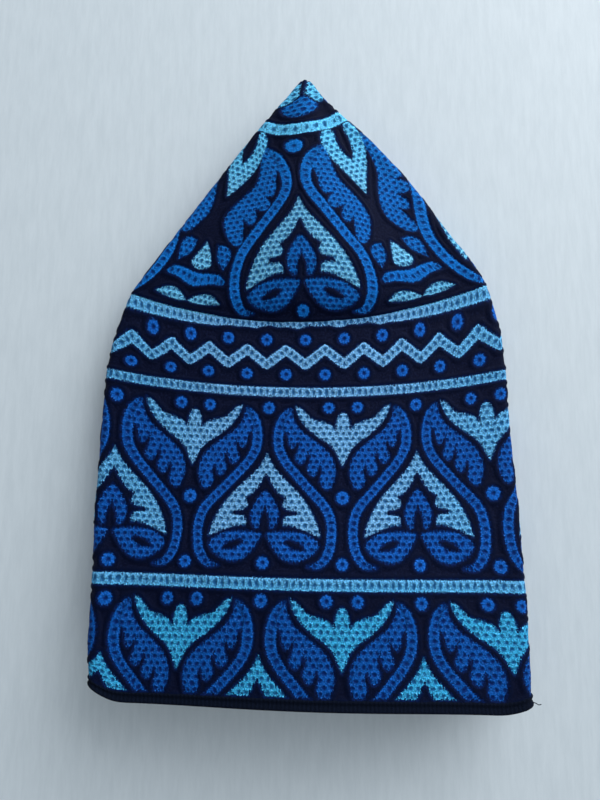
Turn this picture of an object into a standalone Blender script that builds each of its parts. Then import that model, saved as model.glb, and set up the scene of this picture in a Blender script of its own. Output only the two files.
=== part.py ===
"""An embroidered round prayer cap, folded flat in four layers and lying on its back panel.

The cap is a tube, the side band, closed at one end by a round crown. It is folded as a
gusseted paper bag is: the front quarter and the back quarter stay outside, and the left
and right quarters are tucked in between them, each with a fold down its middle.
+X is the wearer's side to the right of the front panel, +Y runs from the hem to the
crown's point, and +Z is up from the surface that the back panel lies on.
"""

import math
from collections import namedtuple

import bmesh
import bpy
import numpy as np

MM = 0.001

# Driving dimensions of the cloth, in millimetres
CLOTH = 1.8  # embroidered cloth, with its backing
SEAM_GAP = 0.3  # between the crown's rim and the band's top
BINDING_CLOTH = 1.0
BINDING_GAP = 0.3
BINDING_DEPTH = 4.0  # how far the binding reaches up from the hem
SOLID_TIP = 60.0  # the crown's layers are bunched solid further than this from its seam
CORNER_LEFT = 4.2  # how far the hem's left corner is drawn up, and its right one
CORNER_RIGHT = 2.6
CORNER_REACH = 16.0  # how far in from the fold a corner is drawn up
CORNER_FADES = 22.0  # and how far up from the hem
CORNER_START = 2.0  # how far outside the front panel's fold a corner is fully drawn up

# Points round one section of the fold
FRONT_STEPS = 20
BACK_STEPS = 8
GUSSET_STEPS = 7
OUTER_FOLD_STEPS = 5
INNER_FOLD_STEPS = 4

# One row for each section across the folded cap, in millimetres.
# along: distance on the cloth at the middle of the front panel.
# mid: the section's Y at the middle. sag, slant: how far its sides lie beyond that, both
# together and the right one against the left one.
# left, right: from the middle to the front panel's folds. spread: how much further the
# back panel's folds lie.
# crest, fold_top: the front panel's height at the middle and at its folds.
# base: the back panel's height.
# fold, tuck: the outside radius of the four outer folds, and the inside one of the two inner.
# tuck_x: from the middle to the centre of the inner folds.
Section = namedtuple(
    "Section", "along mid sag slant left right spread crest fold_top base fold tuck tuck_x"
)

BAND = [
    Section(0.0, -101.7, -1.1, -2.1, 64.2, 65.7, 4.0, 30.8, 26.0, 1.3, 3.5, 2.4, 9.0),
    Section(16.0, -86.1, -1.9, -1.0, 66.3, 66.9, 3.5, 28.0, 22.6, 0.9, 3.3, 2.0, 7.2),
    Section(33.7, -68.7, -1.2, -1.5, 67.2, 68.1, 3.0, 24.7, 18.6, 0.0, 3.1, 1.6, 6.4),
    Section(57.0, -45.9, 1.9, -0.3, 68.5, 68.4, 2.5, 19.6, 14.6, 0.0, 2.9, 1.2, 6.0),
    Section(75.5, -27.7, 3.7, 0.0, 68.4, 67.8, 2.0, 17.0, 12.6, 0.0, 2.7, 0.9, 5.7),
    Section(94.5, -8.9, 6.4, -0.3, 67.8, 67.6, 1.5, 15.4, 11.6, 0.0, 2.6, 0.8, 5.6),
    Section(106.7, 3.3, 6.6, 0.8, 66.2, 66.8, 1.0, 14.8, 11.2, 0.0, 2.5, 0.8, 5.6),
    Section(118.4, 15.1, 12.2, 1.6, 61.2, 63.0, 0.6, 14.0, 11.0, 0.0, 2.5, 0.8, 5.6),
]

CROWN = [
    Section(0.0, 15.1 + SEAM_GAP, 12.2, 1.6, 61.2, 63.0, 0.6, 14.0, 11.0, 0.0, 2.5, 0.8, 5.6),
    Section(9.0, 23.2, 12.8, 1.2, 54.9, 58.2, 0.5, 18.0, 11.5, 0.0, 2.5, 0.8, 5.6),
    Section(23.5, 37.6, 12.4, 0.8, 44.7, 48.1, 0.4, 20.0, 12.0, 0.0, 2.5, 0.8, 5.6),
    Section(41.4, 55.5, 10.0, 0.8, 33.4, 37.2, 0.3, 19.4, 12.2, 0.5, 2.5, 0.8, 5.6),
    Section(60.2, 74.2, 7.6, 0.6, 21.1, 23.2, 0.2, 17.2, 12.8, 2.0, 2.4, 0.8, 5.6),
    Section(74.6, 88.5, 4.6, 0.2, 11.9, 11.4, 0.0, 15.5, 13.0, 4.2, 2.0, 0.6, 4.6),
    Section(83.6, 97.4, 2.0, 0.0, 6.4, 5.6, 0.0, 14.5, 13.0, 5.8, 1.6, 0.4, 2.2),
    Section(91.0, 104.8, 0.2, 0.0, 2.0, 1.4, 0.0, 13.2, 12.6, 8.2, 0.9, 0.2, 0.4),
]

TUCK_SHARE = 0.42  # how far up between the panels the inner folds lie

BAND_RINGS = 15
CROWN_OUTER_RINGS = 14
CROWN_INNER_RINGS = 9

EMBROIDERY_BLUE = (0.030, 0.120, 0.420, 1.0)
CROWN_BLUE = (0.055, 0.190, 0.480, 1.0)
BINDING_NAVY = (0.008, 0.010, 0.028, 1.0)


def section_at(rows, along):
    """The section at a distance along the cloth, every column following a smooth monotone curve."""
    table = np.array(rows)
    knots = table[:, 0]
    steps = np.diff(knots)
    rates = np.diff(table, axis=0) / steps[:, None]
    slopes = np.vstack([rates[:1], rates])
    before, after = rates[:-1], rates[1:]
    same_way = before * after > 0
    total = np.where(same_way, before + after, 1.0)
    slopes[1:-1] = np.where(same_way, 2.0 * before * after / total, 0.0)
    i = int(np.clip(np.searchsorted(knots, along) - 1, 0, len(steps) - 1))
    s = (along - knots[i]) / steps[i]
    start, end = table[i], table[i + 1]
    leaving, arriving = slopes[i] * steps[i], slopes[i + 1] * steps[i]
    values = (
        (2 * s**3 - 3 * s**2 + 1) * start
        + (s**3 - 2 * s**2 + s) * leaving
        + (3 * s**2 - 2 * s**3) * end
        + (s**3 - s**2) * arriving
    )
    return Section(*values)


def arc(centre_x, centre_z, radius, start, end, steps):
    """Points on an arc between two angles in degrees, without its two ends."""
    angles = np.radians(np.linspace(start, end, steps + 1))[1:-1]
    return [(centre_x + radius * math.cos(a), centre_z + radius * math.sin(a)) for a in angles]


def layer(start, end, steps):
    """Points along one gusset layer, level at both of its ends."""
    shares = np.linspace(0.0, 1.0, steps + 1)
    return [
        (start[0] + (end[0] - start[0]) * s, start[1] + (end[1] - start[1]) * s * s * (3 - 2 * s))
        for s in shares
    ]


def right_gusset(row, inset, reach):
    """From the end of the front panel round the right gusset to the end of the back panel."""
    fold_x = reach - row.fold
    back_fold_x = fold_x + row.spread
    front_z = row.fold_top - row.fold
    back_z = row.base + row.fold
    tuck_z = row.base + TUCK_SHARE * (row.crest - row.base)
    fold_radius = row.fold - inset
    tuck_radius = row.tuck + inset
    points = arc(fold_x, front_z, fold_radius, 90, -90, OUTER_FOLD_STEPS)
    points += layer((fold_x, front_z - fold_radius), (row.tuck_x, tuck_z + tuck_radius), GUSSET_STEPS)
    points += arc(row.tuck_x, tuck_z, tuck_radius, 90, 270, INNER_FOLD_STEPS)
    points += layer((row.tuck_x, tuck_z - tuck_radius), (back_fold_x, back_z + fold_radius), GUSSET_STEPS)
    points += arc(back_fold_x, back_z, fold_radius, 90, -90, OUTER_FOLD_STEPS)
    return points


def folded_loop(row, inset):
    """The closed outline of one section, pushed into the cloth by inset."""
    left = row.left - row.fold
    right = row.right - row.fold
    front = []
    for share in np.linspace(-1.0, 1.0, FRONT_STEPS + 1):
        x = (right + left) / 2 * share + (right - left) / 2
        z = row.fold_top + (row.crest - row.fold_top) * (1 - share**2) ** 2 - inset
        front.append((x, z))
    back_ends = np.linspace(right + row.spread, -left - row.spread, BACK_STEPS + 1)
    back = [(x, row.base + inset) for x in back_ends]
    mirrored = [(-x, z) for x, z in reversed(right_gusset(row, inset, row.left))]
    return front + right_gusset(row, inset, row.right) + back + mirrored


def rise(value, low, high):
    """A smooth step from 0 to 1 while value goes from low to high."""
    share = min(max((value - low) / (high - low), 0.0), 1.0)
    return share**2 * (3 - 2 * share)


def placed(row, inset, on_band=True):
    """The section's outline in space, with its sides lying beyond its middle."""
    hem_share = 1 - rise(row.along, 0.0, CORNER_FADES) if on_band else 0.0
    points = []
    for x, z in folded_loop(row, inset):
        reach, corner = (row.right, CORNER_RIGHT) if x > 0 else (row.left, CORNER_LEFT)
        across = x / reach
        drawn_up = (1 - rise(reach + CORNER_START - abs(x), 0.0, CORNER_REACH)) ** 2
        y = row.mid + row.sag * across**2 + row.slant * across + corner * drawn_up * hem_share
        points.append((x * MM, y * MM, z * MM))
    return points


def add_ring(bm, row, inset, on_band=True):
    return [bm.verts.new(point) for point in placed(row, inset, on_band)]


def skin(bm, rings):
    """Faces between each ring and the next."""
    for lower, upper in zip(rings, rings[1:]):
        for i in range(len(lower)):
            j = (i + 1) % len(lower)
            bm.faces.new((lower[i], lower[j], upper[j], upper[i]))


def finish_object(name, bm, colour, roughness):
    bmesh.ops.recalc_face_normals(bm, faces=bm.faces)
    bmesh.ops.triangulate(bm, faces=bm.faces)
    mesh = bpy.data.meshes.new(name)
    bm.to_mesh(mesh)
    bm.free()
    mesh.shade_smooth()
    mesh.set_sharp_from_angle(angle=math.radians(50))
    material = bpy.data.materials.new(name)
    material.use_nodes = True
    shader = material.node_tree.nodes["Principled BSDF"]
    shader.inputs["Base Color"].default_value = colour
    shader.inputs["Roughness"].default_value = roughness
    shader.inputs["Metallic"].default_value = 0.0
    mesh.materials.append(material)
    obj = bpy.data.objects.new(name, mesh)
    bpy.context.scene.collection.objects.link(obj)
    return obj


def make_side_band():
    """The tube of the cap, open at the hem and at the crown's seam."""
    bm = bmesh.new()
    start = BINDING_CLOTH + BINDING_GAP
    rows = [section_at(BAND, along) for along in np.linspace(start, BAND[-1].along, BAND_RINGS)]
    outer = [add_ring(bm, row, 0.0) for row in rows]
    inner = [add_ring(bm, row, CLOTH) for row in rows]
    skin(bm, outer)
    skin(bm, inner)
    skin(bm, [outer[0], inner[0]])
    skin(bm, [outer[-1], inner[-1]])
    return finish_object("side_band", bm, EMBROIDERY_BLUE, 0.8)


def make_crown():
    """The round top, folded to a point, hollow up to where its layers bunch together."""
    bm = bmesh.new()
    outer_at = np.linspace(0.0, CROWN[-1].along, CROWN_OUTER_RINGS)
    inner_at = np.linspace(0.0, SOLID_TIP, CROWN_INNER_RINGS)
    outer = [add_ring(bm, section_at(CROWN, along), 0.0, on_band=False) for along in outer_at]
    inner = [add_ring(bm, section_at(CROWN, along), CLOTH, on_band=False) for along in inner_at]
    skin(bm, outer)
    skin(bm, inner)
    skin(bm, [outer[0], inner[0]])
    bm.faces.new(outer[-1])
    bm.faces.new(inner[-1])
    return finish_object("crown", bm, CROWN_BLUE, 0.8)


def make_hem_binding():
    """The plain strip folded over the raw edge, a channel that the band's edge stands in."""
    bm = bmesh.new()
    outer_face = -BINDING_GAP - BINDING_CLOTH
    inner_face = CLOTH + BINDING_GAP + BINDING_CLOTH
    # The channel's profile: how far into the cloth, and how far up from the hem
    profile = [
        (outer_face, BINDING_CLOTH),
        (outer_face, BINDING_DEPTH),
        (-BINDING_GAP, BINDING_DEPTH),
        (-BINDING_GAP, BINDING_CLOTH),
        (CLOTH + BINDING_GAP, BINDING_CLOTH),
        (CLOTH + BINDING_GAP, BINDING_DEPTH),
        (inner_face, BINDING_DEPTH),
        (inner_face, BINDING_CLOTH),
        (CLOTH, 0.0),
        (0.0, 0.0),
    ]
    rings = [add_ring(bm, section_at(BAND, along), inset) for inset, along in profile]
    skin(bm, rings + rings[:1])
    return finish_object("hem_binding", bm, BINDING_NAVY, 0.75)


def main():
    for obj in list(bpy.data.objects):
        bpy.data.objects.remove(obj, do_unlink=True)
    make_crown()
    make_side_band()
    make_hem_binding()


main()
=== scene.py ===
"""An embroidered prayer cap, folded flat in layers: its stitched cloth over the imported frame."""

import math
from collections import namedtuple

import bpy
import numpy as np
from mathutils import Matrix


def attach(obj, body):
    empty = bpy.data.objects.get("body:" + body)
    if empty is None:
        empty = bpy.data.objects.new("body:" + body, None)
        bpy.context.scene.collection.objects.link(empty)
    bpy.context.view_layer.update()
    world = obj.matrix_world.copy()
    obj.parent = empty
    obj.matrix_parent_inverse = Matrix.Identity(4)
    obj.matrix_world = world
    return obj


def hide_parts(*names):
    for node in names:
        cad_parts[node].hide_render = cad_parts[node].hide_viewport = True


MM = 0.001

# The folded cloth. Each row says how the section lies at that distance along the front, in mm.
TUCK_SHARE = 0.42
Section = namedtuple(
    "Section",
    "along mid sag slant left right spread crest fold_top base fold tuck tuck_x",
)
BAND = [
    Section(0.0, -101.7, -1.1, -2.1, 64.2, 65.7, 4.0, 30.8, 26.0, 1.3, 3.5, 2.4, 9.0),
    Section(16.0, -86.1, -1.9, -1.0, 66.3, 66.9, 3.5, 28.0, 22.6, 0.9, 3.3, 2.0, 7.2),
    Section(33.7, -68.7, -1.2, -1.5, 67.2, 68.1, 3.0, 24.7, 18.6, 0.0, 3.1, 1.6, 6.4),
    Section(57.0, -45.9, 1.9, -0.3, 68.5, 68.4, 2.5, 19.6, 14.6, 0.0, 2.9, 1.2, 6.0),
    Section(75.5, -27.7, 3.7, 0.0, 68.4, 67.8, 2.0, 17.0, 12.6, 0.0, 2.7, 0.9, 5.7),
    Section(94.5, -8.9, 6.4, -0.3, 67.8, 67.6, 1.5, 15.4, 11.6, 0.0, 2.6, 0.8, 5.6),
    Section(106.7, 3.3, 6.6, 0.8, 66.2, 66.8, 1.0, 14.8, 11.2, 0.0, 2.5, 0.8, 5.6),
    Section(118.4, 15.1, 12.2, 1.6, 61.2, 63.0, 0.6, 14.0, 11.0, 0.0, 2.5, 0.8, 5.6),
]
CROWN = [
    Section(0.0, 15.4, 12.2, 1.6, 61.2, 63.0, 0.6, 14.0, 11.0, 0.0, 2.5, 0.8, 5.6),
    Section(9.0, 23.2, 12.8, 1.2, 54.9, 58.2, 0.5, 18.0, 11.5, 0.0, 2.5, 0.8, 5.6),
    Section(23.5, 37.6, 12.4, 0.8, 44.7, 48.1, 0.4, 20.0, 12.0, 0.0, 2.5, 0.8, 5.6),
    Section(41.4, 55.5, 10.0, 0.8, 33.4, 37.2, 0.3, 19.4, 12.2, 0.5, 2.5, 0.8, 5.6),
    Section(60.2, 74.2, 7.6, 0.6, 21.1, 23.2, 0.2, 17.2, 12.8, 2.0, 2.4, 0.8, 5.6),
    Section(74.6, 88.5, 4.6, 0.2, 11.9, 11.4, 0.0, 15.5, 13.0, 4.2, 2.0, 0.6, 4.6),
    Section(83.6, 97.4, 2.0, 0.0, 6.4, 5.6, 0.0, 14.5, 13.0, 5.8, 1.6, 0.4, 2.2),
    Section(91.0, 104.8, 0.2, 0.0, 2.0, 1.4, 0.0, 13.2, 12.6, 8.2, 0.9, 0.2, 0.4),
]
BAND_DEPTH = BAND[-1].along
CROWN_RADIUS = CROWN[-1].along

# The hem's corners: how far each is drawn up, from how far beyond the fold, and where that fades.
CORNER_LEFT, CORNER_RIGHT = 4.2, 2.6
CORNER_OVERHANG = 2.0
CORNER_REACH = 16.0
CORNER_FADES = 22.0

# The grids of the pieces: how many faces each stretch of the half section has, how many rows there are,
# where they start and stop in mm from the hem, the seam or the crown's point, and the uv's free margin.
Zone = namedtuple("Zone", "front outer_fold upper tuck lower inner_fold back")
BAND_ZONE = Zone(150, 12, 62, 10, 62, 12, 66)
CROWN_ZONE = Zone(136, 10, 52, 8, 52, 10, 56)
REVERSE_ZONE = Zone(60, 8, 40, 8, 40, 8, 44)
BAND_ROWS, CROWN_ROWS, REVERSE_ROWS = 262, 200, 100
EMBROIDERY_FOOT = 1.1
BAND_PAST_SEAM = 0.35
CROWN_LAST_ROWS = (1.0, 0.3)
REVERSE_SHORT = 0.6
REVERSE_INSET = 1.5
UV_MARGIN = 0.01

# The pattern's places on the flat cloth, in mm: across from the front's middle, up from the hem.
UNIT = 48.4
UNITS_ROUND = 12
HEART_AXIS = -12.8
LOWER_SHIFT = 60.0
PATTERN_FOOT = 3.5
Stripe = namedtuple("Stripe", "middle half")
STRIPES = [Stripe(34.0, 1.6), Stripe(94.6, 1.42)]
ZIGZAGS_ROUND = 45
ZIGZAG_PEAK = 6.1
ZIGZAG_MIDDLE = 106.5
ZIGZAG_RISE = 2.6
ZIGZAG_HALF = 1.5
ZIGZAG_DOTS = 5.9
EYELETS_ON_LIMB = 4
DOT = 1.8

# The cloth isn't sewn quite square. The units are wider towards the front's sides and closer beyond
# FRONT_END, so that a whole number goes round. The hearts' axes lean, and the stripes rise at the sides.
FRONT_END = 70.0
SIDE_SLACK, SLACK_FROM, SLACK_OVER = 1.5, 45.0, 20.0
SKEW, SKEW_FROM = 0.027, 70.0
SIDE_SKEW, SIDE_SKEW_FROM = 0.045, 57.0
SIDE_STARTS, SIDE_STOPS = (35, 62), (75, 110)
SIDE_LIFT, SIDE_LIFT_AT = 0.8, 65.0

# The stripe along the seam, which covers the band's top and the crown's rim.
Wave = namedtuple("Wave", "size pace start")
SEAM_STRIPE_FOOT = 117.0
SEAM_STRIPE_HEAD = BAND_DEPTH + 0.3
SEAM_STRIPE_WIDER, SEAM_STRIPE_WIDENS = 1.0, (12, 38)
SEAM_WAVES = (Wave(0.35, 0.42, 0.0), Wave(0.25, 0.91, 1.0))
SEAM_WAVES_FADE = (15, 40)
SEAM_STRIPE_TURN, SEAM_STRIPE_TURNS = 0.9, (12, 26)
SEAM_STRIPE_SHORT = 0.5

# The stitches' sizes in mm. A dot is one eyelet, DOT_EYELET times its radius wide. The staggered grid
# repeats every TWO_ROWS eyelets along; STROKE_ROWS and STRIPE_ROWS below 1 stand for wider rows.
EYELET = 2.15
FILL_EYELET = 2.12
CROWN_STEM_EYELET = 2.5
CROWN_EYELET = 2.6
DOT_EYELET = 2.1
TWO_ROWS = 1.732
STROKE_ROWS = 0.75
STRIPE_ROWS = 0.6
REACH = 3.0
OUTLINE = 1.9
OUTLINE_RISE = 0.42
STITCH_RISE, STITCH_SLOPE, STITCH_START = 0.22, 0.6, 0.3
SEAM_DRAW, SEAM_DRAW_REACH = 0.3, 0.6
REVERSE_DRAWN = 0.15
Pucker = namedtuple("Pucker", "pace bend bend_pace")
PUCKER_ACROSS, PUCKER_ALONG = Pucker(0.61, 2.0, 0.23), Pucker(0.53, 1.7, 0.19)
PUCKER_RISE = 0.10

ROYAL, SKY = 0, 1
Knot = namedtuple("Knot", "x y sharp", defaults=(False,))
Stem = namedtuple("Stem", "x y half")


def shape(*places):
    """An outline's knots: x, y, and True where the line has a corner."""
    return [Knot(*place) for place in places]


def stroke(*places):
    """A stroke's places: x, y and half its width there."""
    return [Stem(*place) for place in places]


# One unit of the band, from its heart's axis (x) and up from the hem (y).
STEM = stroke(
    (13.7, 39.2, 0.15), (15.4, 39.3, 0.6), (17.4, 39.9, 1.0), (19.2, 41.9, 1.3), (20.4, 44.7, 1.35),
    (20.9, 48.5, 1.35), (20.8, 51.4, 1.35), (20.2, 54.3, 1.35), (19.0, 56.8, 1.35), (16.9, 59.4, 1.3),
    (14.5, 61.9, 1.3), (12.2, 64.4, 1.25), (9.6, 67.3, 1.3), (7.2, 70.0, 1.3), (5.3, 72.6, 1.35),
    (3.9, 75.4, 1.45), (3.4, 78.0, 1.5), (3.4, 80.5, 1.55), (3.9, 83.2, 1.6), (5.0, 85.8, 1.6),
    (6.4, 88.0, 0.9), (7.5, 89.2, 0.1),
)
LEAF = shape(
    (7.5, 89.2, True), (7.8, 86.7), (8.7, 84.4), (10.2, 82.3), (12.2, 80.5), (14.6, 78.8),
    (16.9, 77.0), (19.0, 75.2), (20.7, 72.9), (21.7, 70.2), (21.8, 67.3), (21.0, 64.4), (20.0, 62.8),
    (18.4, 63.2), (17.2, 64.6), (17.3, 66.7), (17.7, 68.8), (16.8, 71.0, True), (16.1, 68.6),
    (15.6, 67.4), (14.6, 67.1), (13.4, 68.2), (13.1, 69.9), (13.9, 72.0), (13.3, 75.5, True),
    (12.5, 73.1), (11.9, 71.6), (10.8, 70.9), (9.5, 71.7), (9.1, 73.2), (10.0, 75.4),
    (10.4, 79.0, True), (9.1, 77.1), (8.1, 76.1), (7.2, 76.9), (6.6, 78.8), (6.4, 80.3),
    (5.8, 81.5, True), (4.3, 82.0), (4.3, 86.0),
)
HEART = shape(
    (0.0, 74.3, True), (1.0, 72.0), (2.5, 69.6), (4.6, 67.3), (7.2, 64.6), (9.9, 62.0), (11.9, 59.6),
    (13.7, 57.0), (15.4, 53.8), (16.6, 50.8), (17.3, 48.0, True), (15.4, 48.8), (13.1, 49.8),
    (10.4, 50.8), (7.8, 51.4), (5.9, 51.4, True), (5.9, 52.9), (6.6, 54.1), (8.1, 54.4),
    (10.2, 54.6, True), (10.3, 55.2, True), (9.6, 56.0), (7.8, 56.2), (6.3, 56.7), (5.6, 57.8),
    (6.0, 59.1), (6.8, 59.9, True), (5.4, 60.8), (4.0, 61.7), (2.8, 63.2), (1.6, 65.0), (0.9, 66.7),
    (0.0, 67.8, True),
)
FLAME = shape(
    (0.0, 62.2, True), (1.0, 61.4), (2.2, 59.9), (3.2, 58.2), (4.1, 56.1), (4.3, 54.1), (3.7, 52.0),
    (2.5, 50.5), (1.7, 51.1), (1.7, 53.2), (1.1, 54.9), (0.4, 56.7), (0.0, 57.6, True),
)
LENS = shape(
    (0.9, 48.6), (2.5, 49.2), (5.4, 49.6), (9.0, 49.5), (12.5, 48.8), (15.4, 47.4), (16.9, 45.8),
    (16.5, 44.4), (14.9, 42.6), (12.5, 41.4), (9.9, 40.5), (7.2, 40.9), (4.9, 42.3), (3.1, 44.4),
    (1.6, 47.0),
)
LENS_HOLE = shape(
    (6.4, 47.0), (8.7, 47.2), (11.6, 45.8), (12.9, 44.2), (10.7, 43.8), (8.4, 44.5), (6.6, 45.8),
)
# Half of a tulip, from the tulip's own axis (x).
TULIP = shape(
    (0.0, 70.1, True), (1.2, 72.6), (2.4, 75.2), (4.7, 77.6), (7.4, 79.4), (10.0, 81.4), (12.4, 83.8),
    (14.1, 86.1), (15.0, 88.2), (15.4, 89.9, True), (13.5, 88.9), (11.8, 87.2), (9.7, 85.4),
    (7.1, 84.9), (4.7, 84.0), (3.2, 82.9), (2.5, 81.2, True), (2.2, 83.3), (1.8, 85.6), (1.1, 87.0),
    (0.0, 87.6),
)
Dot = namedtuple("Dot", "x y radius")
HEART_DOTS = [Dot(0.0, 89.2, 1.85), Dot(0.0, 40.1, 1.8)]
TULIP_DOTS = [Dot(4.7, 89.4, 1.75), Dot(0.0, 60.0, 2.0), Dot(0.0, 40.0, 1.75)]

# One unit of the crown, from its heart's axis (x) and out from the crown's centre (y).
CROWN_UNITS = 6
CROWN_HEART_TIP = 47.5
CROWN_HEART_WIDER = 1.21
CROWN_HEART_LONGER = 1.15
CROWN_STEM = stroke(
    (18.9, 86.3, 0.15), (20.8, 86.0, 0.6), (23.2, 84.9, 1.2), (24.7, 82.0, 1.6), (25.4, 78.2, 1.75),
    (25.3, 74.3, 1.8), (24.5, 70.7, 1.75), (23.0, 67.0, 1.7), (20.7, 63.6, 1.7), (17.7, 60.4, 1.7),
    (14.6, 57.0, 1.7), (11.5, 53.6, 1.65), (8.6, 50.2, 1.65), (6.2, 47.3, 1.65), (4.4, 44.3, 1.65),
    (3.5, 41.2, 1.7), (3.5, 38.1, 1.75), (4.2, 35.0, 1.8), (5.4, 31.8, 1.8), (7.0, 29.0, 1.1),
    (8.8, 26.6, 0.1),
)
CROWN_LEAF = shape(
    (8.8, 26.6, True), (10.3, 29.2), (11.0, 32.5), (12.2, 35.8), (14.1, 39.2), (16.5, 41.7),
    (19.3, 43.8), (22.1, 46.3), (24.4, 48.8), (26.0, 51.7), (26.3, 55.0), (25.9, 58.3), (24.8, 60.8),
    (22.9, 61.9), (21.2, 60.6), (20.9, 57.5), (20.4, 55.4), (20.3, 52.1, True), (18.9, 54.4),
    (17.8, 55.2), (16.6, 54.5), (15.7, 52.5), (16.7, 48.7, True), (14.1, 50.4), (12.2, 50.6),
    (10.8, 49.2), (11.0, 47.6), (12.9, 44.8, True), (10.8, 45.6), (9.6, 45.8), (8.2, 43.4),
    (7.5, 40.0), (6.8, 38.0), (6.3, 36.5, True), (4.6, 36.0), (5.6, 31.0),
)
ROSETTE_LENS = shape(
    (0.0, 7.4, True), (2.3, 8.9), (4.6, 11.0, True), (4.2, 12.8), (2.4, 14.7), (0.0, 15.4),
)
CROWN_DOTS = [Dot(0.0, 27.3, 2.5), Dot(0.0, 87.0, 2.2)]
RING = Stripe(20.4, 2.0)
# The same unit from the axis between two hearts (x).
LOOP = shape(
    (0.0, 49.0, True), (1.3, 46.0), (3.0, 42.0), (4.7, 38.0), (5.9, 34.0), (6.5, 30.0), (6.2, 26.0),
    (5.2, 23.4), (3.7, 22.4), (2.3, 23.0), (1.9, 25.0), (2.2, 28.0), (2.1, 31.0), (1.3, 34.0),
    (0.0, 36.5, True),
)
ROSETTE_PETAL = shape(
    (0.0, 1.5, True), (2.7, 5.9, True), (1.8, 9.0), (1.0, 10.8), (0.0, 11.4, True),
)
BLOCK = shape(
    (9.5, 68.2), (7.1, 66.7, True), (4.3, 67.2, True), (5.6, 71.5), (9.2, 74.3, True), (9.9, 71.0),
)
DROP = shape(
    (0.0, 67.0, True), (1.6, 69.5), (3.0, 72.0), (3.7, 74.0), (2.6, 75.4), (0.0, 76.0),
)
WING = stroke(
    (0.0, 79.8, 2.2), (3.0, 79.1, 2.0), (6.0, 78.3, 1.6), (9.0, 78.0, 1.4), (11.5, 78.5, 0.5),
)
SEAM_LENS = shape(
    (0.4, 87.1, True), (3.2, 85.0), (6.3, 83.8), (9.8, 84.0), (13.0, 85.6, True), (9.8, 86.6),
    (6.3, 87.2), (3.2, 87.5),
)
# Where the pattern's axes lie on the folded crown, in degrees, at each distance out from its point, and
# the pattern's own angles there.
Spoke = namedtuple("Spoke", "out left arm heart right")
SPOKES = [
    Spoke(0.0, -47.0, -34.0, -13.0, 38.0), Spoke(13.0, -47.0, -34.0, -13.0, 38.0),
    Spoke(22.0, -46.3, -40.0, -11.5, 33.0), Spoke(30.0, -42.6, -33.5, -9.4, 28.8),
    Spoke(48.0, -37.6, -22.8, -3.6, 25.9), Spoke(60.0, -37.0, -22.0, -2.3, 26.6),
    Spoke(72.0, -33.5, -20.7, -1.4, 28.4), Spoke(91.0, -31.3, -19.1, -0.7, 29.8),
]
ON_PATTERN = (-180, -30, -18, 0, 30, 180)
FRONT_TURN = 45.0
# The pattern's centre is off the folded point by this much, and less further out.
CENTRE_X, CENTRE_Y = 3.8, 3.0
CENTRE_FADES = 95.0

# The loose end of thread at the hem's right corner.
THREAD_END = shape((64.2, -100.6), (65.4, -101.6), (66.6, -101.9), (67.6, -102.4), (68.3, -102.3))
THREAD_HEIGHT = 24.0
THREAD_RADIUS = 0.14
THREAD_SIDES = 6

# The hem's plain binding: how far in from the cloth's face (x), and how far up from the hem (y), in mm.
BINDING = shape(
    (0.3, 3.0), (-0.35, 2.9), (-0.65, 2.5), (-0.5, 2.1),
    (-0.3, 1.6), (-0.45, 1.1), (-0.75, 0.5), (-0.6, -0.1),
    (0.1, -0.35), (1.0, -0.4), (1.8, -0.1), (2.3, 0.5),
    (2.3, 1.5), (2.3, 2.4), (1.7, 3.0),
)
BINDING_STEPS = 3

# How finely smooth lines are drawn, how many distances are worked out at once, and how far a stroke
# may reach to each side of its line.
LINE_STEPS = 4
PAIRS_AT_ONCE = 4_000_000
WIDEST_STEM = 2


def curve(share, start, leaving, end, arriving):
    """The smooth way from start to end that leaves and arrives at the given rates."""
    return (
        (2 * share**3 - 3 * share**2 + 1) * start
        + (share**3 - 2 * share**2 + share) * leaving
        + (3 * share**2 - 2 * share**3) * end
        + (share**3 - share**2) * arriving
    )


def smooth_rows(rows, alongs):
    """The rows' smooth values at each distance along, in columns as in the rows."""
    table = np.array(rows)
    knots = table[:, 0]
    steps = np.diff(knots)
    rates = np.diff(table, axis=0) / steps[:, None]
    before, after = rates[:-1], rates[1:]
    same_way = before * after > 0
    total = np.where(same_way, before + after, 1.0)
    slopes = np.vstack([rates[:1], rates])
    slopes[1:-1] = np.where(same_way, 2.0 * before * after / total, 0.0)
    part = np.clip(np.searchsorted(knots, alongs) - 1, 0, len(steps) - 1)
    share = ((alongs - knots[part]) / steps[part])[:, None]
    start, end = table[part], table[part + 1]
    leaving = slopes[part] * steps[part][:, None]
    arriving = slopes[part + 1] * steps[part][:, None]
    values = curve(share, start, leaving, end, arriving)
    return type(rows[0])(*values.T[:, :, None])


def rise(value, low, high):
    """A smooth step from 0 to 1 while value goes from low to high."""
    share = np.clip((value - low) / (high - low), 0, 1)
    return share**2 * (3 - 2 * share)


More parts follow.
